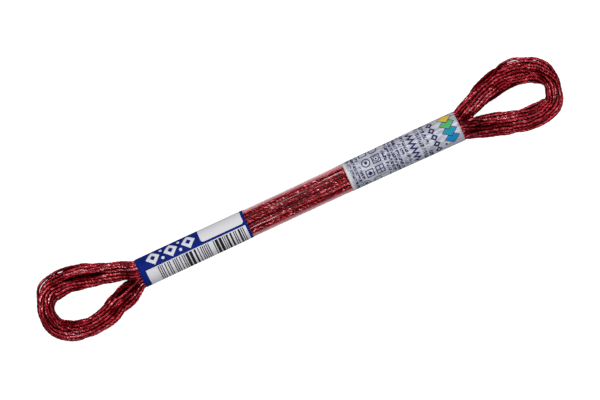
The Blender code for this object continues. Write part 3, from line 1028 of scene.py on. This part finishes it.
class Print(Nodes):
    """Shapes on the sleeve's film: each is 1 inside and 0 outside. x runs along the sleeve, and
    s round the film from its top line."""

    def __init__(self, name):
        super().__init__(name)
        self.x, self.s, _ = self.attribute("print")

    def noise_over(self, detail, scale_x, scale_s, seed=0.0):
        return self.noise(detail, self.times(self.x, scale_x), self.times(self.s, scale_s), seed)

    def creases(self, strength):
        """The film's own relief: long soft creases with the thread under it."""
        short = self.times(self.noise_over(2.0, 0.8, 1.3, 4.0), 0.35)
        node = self.node("Bump")
        node.inputs["Strength"].default_value = strength
        node.inputs["Distance"].default_value = CREASE_HEIGHT * MM
        self.link(self.plus(self.noise_over(2.0, 0.10, 1.1), short), node.inputs["Height"])
        self.surface("Normal", node.outputs[0])

    def apart(self, x, s):
        return self.away(self.x, x), self.away(self.s, s)

    def box(self, left, right, low, high):
        return self.times(self.within(self.x, left, right), self.within(self.s, low, high))

    def rounded_box(self, left, right, low, high, corner):
        apart = self.apart((left + right) / 2, (low + high) / 2)
        inner = ((right - left) / 2 - corner, (high - low) / 2 - corner)
        over = [self.math("MAXIMUM", self.minus(a, b), 0.0) for a, b in zip(apart, inner)]
        return self.math("LESS_THAN", self.length(*over), corner)

    def disc(self, x, s, radius):
        return self.math("LESS_THAN", self.length(*self.apart(x, s)), radius)

    def ring(self, x, s, radius, width):
        return self.math("COMPARE", self.length(*self.apart(x, s)), radius, width / 2)

    def lozenge(self, x, s, half_x, half_s):
        apart = zip(self.apart(x, s), (half_x, half_s))
        parts = [self.math("DIVIDE", part, half) for part, half in apart]
        return self.math("LESS_THAN", self.plus(*parts), 1.0)

    def frame(self, x, s, half, width):
        reach = self.math("MAXIMUM", *self.apart(x, s))
        return self.math("COMPARE", reach, half - width / 2, width / 2)

    def plain_bars(self, box):
        """Made-up bars: of every four widths the first three are black or white at random."""
        width = self.floor_over(self.plus(self.x, BARS_START), BAR)
        filled = self.math("LESS_THAN", self.math("FLOORED_MODULO", width, 4.0), 2.5)
        black = self.math("GREATER_THAN", self.white_noise(width)[0], BARS_WHITE)
        return self.times(filled, black, self.box(*box))

    def ink_rows(self, left, right, pitch, seed):
        """Rows of fine strokes across the sleeve, such as a block of small print seen from afar."""
        place = self.math("DIVIDE", self.minus(self.x, left), pitch)
        row = self.math("FLOOR", place)
        within_row = self.math("FRACT", place)
        half = self.times(self.math("GREATER_THAN", within_row, 0.5), 0.37)
        stroke = self.floor_over(self.s, STROKE)
        word = self.floor_over(self.plus(self.s, row), WORD)
        strokes = self.white_noise(self.plus(row, half), stroke, seed)[0]
        words = self.white_noise(row, word, seed + 0.5)[0]
        return self.times(
            self.within(within_row, 0.14, 0.86),
            self.box(left, right, -ROW_END, ROW_END),
            self.math("GREATER_THAN", strokes, STROKES_LEFT_OUT),
            self.math("GREATER_THAN", words, WORDS_LEFT_OUT),
        )

    def zigzag(self, middle, height, pitch, width, end):
        """A plain zigzag line across the sleeve."""
        slope = 2 * height / pitch
        wave = self.times(self.math("PINGPONG", self.s, pitch / 2), slope)
        apart = self.away(self.x, self.plus(wave, middle - height / 2))
        near = self.math("LESS_THAN", apart, width / 2 * math.hypot(1.0, slope))
        return self.times(near, self.within(self.s, -end, end))

    def lozenge_chain(self, middle, half, pitch, end):
        """Lozenges side by side across the sleeve, each with a bare middle."""
        across = self.times(self.away(self.x, middle), pitch / 2 / half)
        total = self.plus(across, self.math("PINGPONG", self.s, pitch / 2))
        solid = self.math("LESS_THAN", total, pitch / 2)
        bare = self.math("LESS_THAN", total, pitch / 5)
        return self.times(solid, self.outside(bare), self.within(self.s, -end, end))


# -------- materials

# Tones of the foil from deep red to floss red, then a painted glint pink; the deep red is also the
# colour of painted shade.
DEEP_RED_AND_PAINTED_SHADE = (0.050, 0.0008, 0.0012, 1.0)
DARK_RED = (0.152, 0.0066, 0.0108, 1.0)
FLOSS_RED = (0.48, 0.041, 0.060, 1.0)
PAINTED_GLINT_PINK = (0.88, 0.53, 0.58, 1.0)
EDGE_RED = (0.75, 0.16, 0.20, 1.0)
FOIL_TONES_AND_GLINTS = ((0.20, DEEP_RED_AND_PAINTED_SHADE), (0.40, DARK_RED), (0.61, FLOSS_RED), (0.83, PAINTED_GLINT_PINK))
# How bright a wrap of the foil is, as a place among the foil's tones, is the sum of these; its
# brightest places are a painted glint.
LEVEL = 0.267
# Under the clear film the foil's tone is set darker and its painted glints spread further.
LEVEL_UNDER_FILM = -0.070  # added under the clear film
CHANCE_GAIN = 0.19  # how far it differs from wrap to wrap
CHANCE_UNDER_FILM = 0.31  # and how much further under the clear film
PATCH_GAIN = 0.28  # by soft patches of about a millimetre
STRETCH_GAIN = 0.20  # by stretches of about a centimetre
PAINTED_SHEEN_GAIN = 0.20  # by the broad painted highlights and painted shade listed above
NEIGHBOUR_SHADE_RANGE = (0.10, 0.62)  # painted shade: share of the surroundings seen, from darkest to full colour
PAINTED_SHADE_SHEENS = (-1.5, -0.1)  # painted sheens below zero paint shade on the thread, fully at the first value
FOIL_LEAN = 0.26  # how far a wrap tilts its own way


def floss_material():
    """Plies wrapped in dark red metallised foil: each wrap of the foil leans its own way and takes
    a tone from deep red up to a painted glint pink, so that most are dark and a few glint. Painted
    shade darkens the foil most between the strands, and in the grooves between plies and the dark
    sheens."""
    nodes = Nodes("metallic_floss")
    along, around, number = nodes.attribute("lay")
    seen, gain, x = nodes.attribute("place")
    ply = nodes.times(around, float(PLIES))
    slant = nodes.times(nodes.math("FRACT", ply), FOIL_SLANT)
    wound = nodes.plus(nodes.math("DIVIDE", along, FOIL_STEP), slant)
    chance, lean = nodes.white_noise(nodes.math("FLOOR", wound), nodes.math("FLOOR", ply), number)
    patches = nodes.noise(2.0, nodes.times(along, 0.80), nodes.times(ply, 0.5), number)
    stretches = nodes.noise(1.0, nodes.times(along, 0.11), number, 5.0)
    under_film = nodes.within(x, WINDOW_LEFT, WINDOW_RIGHT)
    contrast = nodes.plus(CHANCE_GAIN, nodes.times(under_film, CHANCE_UNDER_FILM))
    level = nodes.plus(
        LEVEL,
        nodes.times(under_film, LEVEL_UNDER_FILM),
        nodes.times(nodes.minus(chance, 0.5), contrast),
        nodes.times(nodes.ramp(patches, 0.28, 0.72), PATCH_GAIN),
        nodes.times(nodes.ramp(stretches, 0.30, 0.70), STRETCH_GAIN),
        nodes.times(gain, PAINTED_SHEEN_GAIN),
    )
    # Painted shade in the grooves between plies.
    painted_groove_shade = nodes.ramp(nodes.math("PINGPONG", ply, 0.5), 0.0, 0.30)
    wrap_edge = nodes.ramp(nodes.math("PINGPONG", wound, 0.5), -0.10, 0.18)
    # Painted shade where other strands and the ring's other run hide the surroundings.
    painted_neighbour_shade = nodes.ramp(seen, *NEIGHBOUR_SHADE_RANGE)
    # All the painted shade together, with the darker edges of the foil's wraps; where it is darkest
    # the foil goes to deep red.
    painted_shade_and_wrap_edges = nodes.times(painted_groove_shade, wrap_edge, painted_neighbour_shade, nodes.ramp(gain, *PAINTED_SHADE_SHEENS))
    tint = nodes.mix(painted_shade_and_wrap_edges, DEEP_RED_AND_PAINTED_SHADE, nodes.colour_ramp(level, FOIL_TONES_AND_GLINTS))
    nodes.surface("Base Color", tint)
    nodes.surface("Roughness", nodes.minus(0.50, nodes.times(chance, 0.22)))
    nodes.surface("Metallic", 1.0)
    nodes.surface("Specular Tint", EDGE_RED)
    nodes.lean(lean, FOIL_LEAN)
    return nodes.material


PRINT_WHITE = (0.395, 0.395, 0.415, 1.0)
PRINT_BLUE = (0.002, 0.009, 0.10, 1.0)
PRINT_BLACK = (0.010, 0.010, 0.014, 1.0)
# The silver print's colour, and the darker silver at the low end of its painted sheen.
PRINT_SILVER = (0.38, 0.385, 0.43, 1.0)
SILVER_SHEEN_LOW = (0.20, 0.205, 0.24, 1.0)
PRINT_INK = (0.008, 0.008, 0.055, 1.0)
PRINT_CREAM = (0.38, 0.38, 0.37, 1.0)
MARK_COLOURS = (
    (0.004, 0.13, 0.30, 1.0),
    (0.004, 0.16, 0.24, 1.0),
    (0.05, 0.24, 0.08, 1.0),
    (0.42, 0.28, 0.04, 1.0),
)
CREASE_HEIGHT = 0.12  # of the film's relief
PRINT_CREASES = 0.35  # how strong the creases of the printed film are
FILM_RELIEF = 0.6  # and of the clear film
# Boxes of the blue print: left, right, low, high, and a rounded one's corner.
BLUE_FIELD = (-46.5, -15.0, 0.03, 9.8)
WHITE_PANEL = (-27.95, -15.75, 0.66, 9.2, 0.8)
BARS_BOX = (-41.3, -16.25, -6.2, -0.18)
BLUE_ENDS = (-44.3, -15.65)  # past these the film is blue all round
CHAIN_LOZENGES = (-41.3, -36.2, -31.1)
CHAIN_DOTS = (-38.75, -33.65)
CHAIN_MIDDLE = 2.55
DOT_ASIDE = 1.2
BAR = 0.264  # width of the thinnest bar
BARS_START = 50.0  # the bars' widths are counted from this far left of the middle
BARS_WHITE = 0.36  # share of the widths that are white
STROKE = 0.17  # width of a stroke of the small print
WORD = STROKE * 9.7
STROKES_LEFT_OUT = 0.42
WORDS_LEFT_OUT = 0.13
ROW_END = 7.5  # how far round the film the small print goes
# Blocks of small print: left, right, from row to row, seed.
SMALL_PRINT = ((15.0, 18.3, 1.1, 1.0), (24.4, 31.5, 1.18, 2.0), (34.4, 37.4, 1.5, 3.0))
LONE_SIGN = (17.9, -4.2)
# Plain signs and lines: the shape, its middle's x and s or its edges, its sizes.
SIGNS = (
    (Print.ring, 19.8, 1.5, 1.08, 0.28),
    (Print.disc, 19.8, 1.5, 0.42),
    (Print.frame, 22.7, 1.5, 1.18, 0.28),
    (Print.ring, 22.7, 1.5, 0.72, 0.24),
    (Print.disc, 22.7, 1.5, 0.25),
    (Print.frame, 19.8, -1.5, 1.12, 0.28),
    (Print.lozenge, 19.8, -1.5, 0.7, 0.7),
    (Print.frame, 22.7, -1.5, 1.18, 0.28),
    (Print.box, 21.7, 23.7, -1.62, -1.38),
    (Print.box, 22.58, 22.82, -2.5, -0.5),
    (Print.ring, *LONE_SIGN, 1.05, 0.22),
    (Print.lozenge, *LONE_SIGN, 0.6, 0.6),
    (Print.ring, 21.2, -4.4, 1.0, 0.22),
    (Print.frame, 19.8, 4.6, 1.12, 0.28),
    (Print.ring, 22.7, 4.6, 1.12, 0.28),
    (Print.disc, 41.2, -3.2, 0.32),
    (Print.zigzag, 32.9, 1.5, 1.3, 0.42, 4.4),
    (Print.lozenge_chain, 38.9, 1.05, 1.9, 4.75),
)
CREAM_END = 14.6  # left of it the silver print has a cream edge
# The four coloured lozenges: their x, from one to the next, half sizes, and those of their edges.
MARKS_X = 43.3
MARK_STEP = 2.0
MARK_HALF = (1.95, 1.45)
MARK_EDGE = (2.25, 1.75)


def blue_print_material():
    """Blue and white print: a blank panel, plain bars, and a chain of lozenges and dots."""
    nodes = Print("blue_print")
    white = [nodes.rounded_box(*WHITE_PANEL)]
    for middle in CHAIN_LOZENGES:
        inner = nodes.lozenge(middle, CHAIN_MIDDLE, 0.8, 0.8)
        outer = nodes.lozenge(middle, CHAIN_MIDDLE, 2.0, 2.0)
        white.append(nodes.times(outer, nodes.outside(inner)))
    for middle in CHAIN_DOTS:
        white.append(nodes.disc(middle, CHAIN_MIDDLE - DOT_ASIDE, 0.42))
        white.append(nodes.disc(middle, CHAIN_MIDDLE + DOT_ASIDE, 0.42))
    left, right = BLUE_ENDS
    blue = nodes.either(
        nodes.times(nodes.box(*BLUE_FIELD), nodes.outside(nodes.either(*white))),
        nodes.math("LESS_THAN", nodes.x, left),
        nodes.math("GREATER_THAN", nodes.x, right),
    )
    tint = nodes.mix(nodes.plain_bars(BARS_BOX), PRINT_WHITE, PRINT_BLACK)
    nodes.surface("Base Color", nodes.mix(blue, tint, PRINT_BLUE))
    nodes.surface("Roughness", 0.45)
    nodes.surface("IOR", 1.08)
    nodes.creases(PRINT_CREASES)
    return nodes.material


def silver_print_material():
    """Silver print: rows of fine strokes, plain outline signs, a zigzag, a chain of lozenges and
    four coloured lozenges, on silver with a painted sheen of darker and brighter patches."""
    nodes = Print("silver_print")
    fine = nodes.either(*(nodes.ink_rows(*block) for block in SMALL_PRINT))
    fine = nodes.times(fine, nodes.outside(nodes.disc(*LONE_SIGN, 1.5)))
    ink = nodes.either(*(shape(nodes, *sizes) for shape, *sizes in SIGNS))
    # Painted sheen: patches of darker and brighter silver stand in for the foil's glints.
    painted_sheen = nodes.ramp(nodes.noise_over(3.0, 0.28, 1.5), 0.38, 0.70)
    silver = nodes.mix(painted_sheen, SILVER_SHEEN_LOW, PRINT_SILVER)
    tint = nodes.mix(nodes.math("LESS_THAN", nodes.x, CREAM_END), silver, PRINT_CREAM)
    tint = nodes.mix(nodes.times(fine, 0.95), tint, PRINT_INK)
    tint = nodes.mix(ink, tint, PRINT_INK)
    covered = ink
    for number, colour in enumerate(MARK_COLOURS):
        middle = MARK_STEP * (number - 1)
        edge = nodes.lozenge(MARKS_X, middle, *MARK_EDGE)
        tint = nodes.mix(nodes.times(edge, 0.85), tint, PRINT_INK)
        tint = nodes.mix(nodes.lozenge(MARKS_X, middle, *MARK_HALF), tint, colour)
        covered = nodes.either(covered, edge)
    nodes.surface("Base Color", tint)
    nodes.surface("Metallic", nodes.times(nodes.outside(covered), 0.10))
    nodes.surface("Roughness", 0.44)
    nodes.surface("IOR", 1.16)
    nodes.creases(PRINT_CREASES)
    return nodes.material


# Colours of the clear film: a faint haze coloured red as painted light from the thread under it,
# the milky pink of painted glints, and the pink of a painted reflection along its sides.
PAINTED_RED_HAZE = (0.50, 0.02, 0.03, 1.0)
PAINTED_GLINT_MILK = (0.70, 0.48, 0.50, 1.0)
SIDE_REFLECTION_PINK = (0.76, 0.38, 0.42, 1.0)
# A band of painted reflection along both sides of the film comes and goes between these distances
# from its top line.
SIDE_REFLECTION_START = (2.9, 4.0)
SIDE_REFLECTION_END = (4.9, 6.6)
# Creases of the film, each with a line of painted glint: where it starts and ends, its place round
# the film, and how strong the glint is.
Crease = namedtuple("Crease", "left right aside milky")
FILM_CREASES = (
    Crease(6.8, 14.0, 2.2, 1.0),
    Crease(-15.0, -5.8, -1.35, 0.6),
    Crease(-9.0, 3.0, 1.6, 0.3),
)
CREASE_FADE = 1.5  # length over which a crease comes and goes at its ends
CREASE_BEND = 0.5  # how far it bends from side to side


def clear_film_material():
    """Clear film: nearly all of it is open, with a faint red haze of painted light from the thread,
    a few creases and faint streaks with painted glints, and a band of painted reflection along both
    sides.
    """
    nodes = Print("clear_film")
    streak = nodes.noise_over(3.0, 0.09, 3.4)
    # Faint streaks of painted glint; the same streaks break up the painted reflection along the
    # sides.
    milky = nodes.times(nodes.ramp(streak, 0.60, 0.80), 0.12)
    bend = nodes.times(nodes.noise(1.0, nodes.times(nodes.x, 0.25)), CREASE_BEND)
    for crease in FILM_CREASES:
        near = nodes.away(nodes.plus(nodes.s, bend), crease.aside + CREASE_BEND / 2)
        line = nodes.times(
            nodes.fall(near, 0.02, 0.16),
            nodes.ramp(nodes.x, crease.left, crease.left + CREASE_FADE),
            nodes.fall(nodes.x, crease.right - CREASE_FADE, crease.right),
            crease.milky,
        )
        milky = nodes.either(milky, line)
    from_top = nodes.math("ABSOLUTE", nodes.s)
    # Painted reflection in a band along each side of the film.
    folded = nodes.times(nodes.ramp(from_top, *SIDE_REFLECTION_START), nodes.fall(from_top, *SIDE_REFLECTION_END))
    tint = nodes.mix(nodes.ramp(milky, 0.0, 0.4), PAINTED_RED_HAZE, PAINTED_GLINT_MILK)
    nodes.surface("Base Color", nodes.mix(folded, tint, SIDE_REFLECTION_PINK))
    side_reflection_alpha = nodes.times(folded, nodes.ramp(streak, 0.1, 0.62), 0.44)
    nodes.surface("Alpha", nodes.either(nodes.plus(0.018, nodes.times(milky, 0.34)), side_reflection_alpha))
    nodes.surface("Roughness", 0.16)
    nodes.surface("IOR", 1.6)
    nodes.creases(FILM_RELIEF)
    return nodes.material


FLOOR_WHITE = (0.30, 0.30, 0.30, 1.0)
FLOOR_GREY = (0.35, 0.35, 0.35, 1.0)
WHITE = (1.0, 1.0, 1.0, 1.0)


def floor_material():
    """A white surface that throws little light back on the skein."""
    nodes = Nodes("white_surface")
    path = nodes.node("LightPath").outputs["Is Camera Ray"]
    nodes.surface("Base Color", nodes.mix(path, FLOOR_GREY, FLOOR_WHITE))
    nodes.surface("Emission Strength", nodes.times(path, 0.90))
    nodes.surface("Emission Color", WHITE)
    nodes.surface("Roughness", 0.9)
    nodes.surface("Specular IOR Level", 0.1)
    return nodes.material


# -------- stage

FLOOR_HALF = 12000.0
FLOOR_HEIGHT = -0.02
SKY_LIGHT = 0.33  # what lights the skein
SKY_SHOWN = 1.0  # what shows behind it in a low view
# Soft square lights that point at the skein: name, place, size, power.
LIGHTS = (("key", (-60, 235, 390), 330, 2.3), ("fill", (100, -170, 430), 300, 1.65))


def add_floor():
    """A pale floor at the height that the skein rests on."""
    sides = ((-1, -1), (1, -1), (1, 1), (-1, 1))
    corners = [(x * FLOOR_HALF, y * FLOOR_HALF, FLOOR_HEIGHT) for x, y in sides]
    new_object("floor", corners, [(0, 1, 2, 3)], floor_material())


def add_light(name, place, size, power):
    light = bpy.data.lights.new(name, "AREA")
    light.shape = "SQUARE"
    light.size = size * MM
    light.energy = power
    obj = bpy.data.objects.new(name, light)
    obj.location = [c * MM for c in place]
    obj.rotation_euler = (-obj.location).to_track_quat("-Z", "Y").to_euler()
    bpy.context.scene.collection.objects.link(obj)


def add_sky():
    """A white sky that lights the skein less than it shows."""
    world = bpy.data.worlds.new("studio")
    bpy.context.scene.world = world
    world.use_nodes = True
    light = world.node_tree.nodes["Background"]
    light.inputs["Color"].default_value = WHITE
    path = world.node_tree.nodes.new("ShaderNodeLightPath")
    strength = world.node_tree.nodes.new("ShaderNodeMapRange")
    strength.inputs["To Min"].default_value = SKY_LIGHT
    strength.inputs["To Max"].default_value = SKY_SHOWN
    world.node_tree.links.new(path.outputs["Is Camera Ray"], strength.inputs["Value"])
    world.node_tree.links.new(strength.outputs["Result"], light.inputs["Strength"])


def add_stage():
    """The floor, the sky, the lights and the camera."""
    add_floor()
    scene = bpy.context.scene
    scene.view_settings.view_transform = "Standard"
    add_sky()
    for light in LIGHTS:
        add_light(*light)
    camera = bpy.data.cameras.new("camera")
    camera.sensor_width = CAMERA_SENSOR
    camera.lens = CAMERA_LENS
    camera.clip_start = 0.01
    obj = bpy.data.objects.new("camera", camera)
    distance = FRAME_PIXELS / PIXELS_PER_MM * CAMERA_LENS / CAMERA_SENSOR
    obj.location = (AIM[0] * MM, AIM[1] * MM, (distance + AIM_HEIGHT) * MM)
    obj.rotation_euler = (0.0, 0.0, -SKEIN_SLANT)
    scene.collection.objects.link(obj)
    scene.camera = obj


# -------- the skein


def add_skein():
    """The wound thread and the sleeve round it."""
    line, seen = wound_thread()
    add_sleeve(line)
    material = floss_material()
    for number, rows in enumerate(thread_stretches(line), 1):
        obj = add_thread(f"floss_turns_{number}", rows, seen, number, material)
        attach(obj, "root")
        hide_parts("floss_skein")


add_skein()
add_stage()
